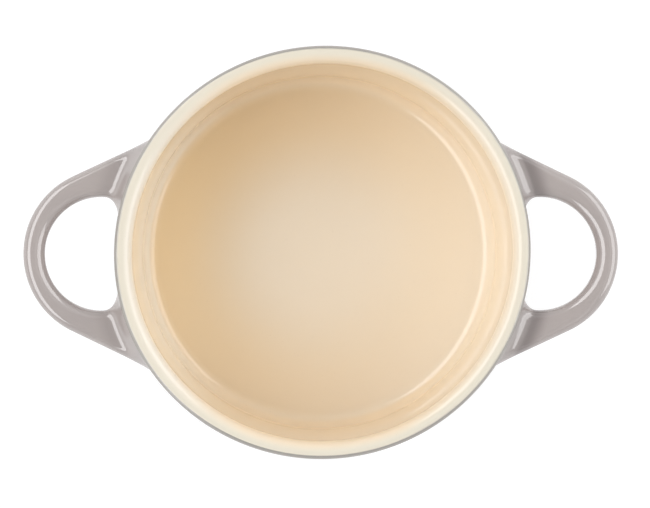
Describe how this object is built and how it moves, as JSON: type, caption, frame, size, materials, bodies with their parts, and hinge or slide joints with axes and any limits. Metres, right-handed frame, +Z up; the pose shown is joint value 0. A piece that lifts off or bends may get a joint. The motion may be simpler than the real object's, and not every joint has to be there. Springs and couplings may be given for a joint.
{
  "type": "mini cocotte pot",
  "caption": "Small round stoneware pot for single oven portions, with loop handles on opposite sides, cream glazed inside and on the rim and grey glazed outside.",
  "frame": {"origin": "middle of the foot ring, on the table", "axes": "+Z up out of the pot's mouth, +X through the right handle, +Y away from a person who holds both handles"},
  "size_m": [0.1446, 0.1, 0.052],
  "materials": {
    "clay": "bare fired stoneware, matte",
    "cream_glaze": "gloss",
    "grey_glaze": "gloss"
  },
  "bodies": {
    "root": {"vessel": "clay", "inner_glaze": "cream_glaze", "outer_glaze": "grey_glaze", "base_glaze": "grey_glaze", "right_handle": "grey_glaze", "left_handle": "grey_glaze"}
  },
  "joints": []
}
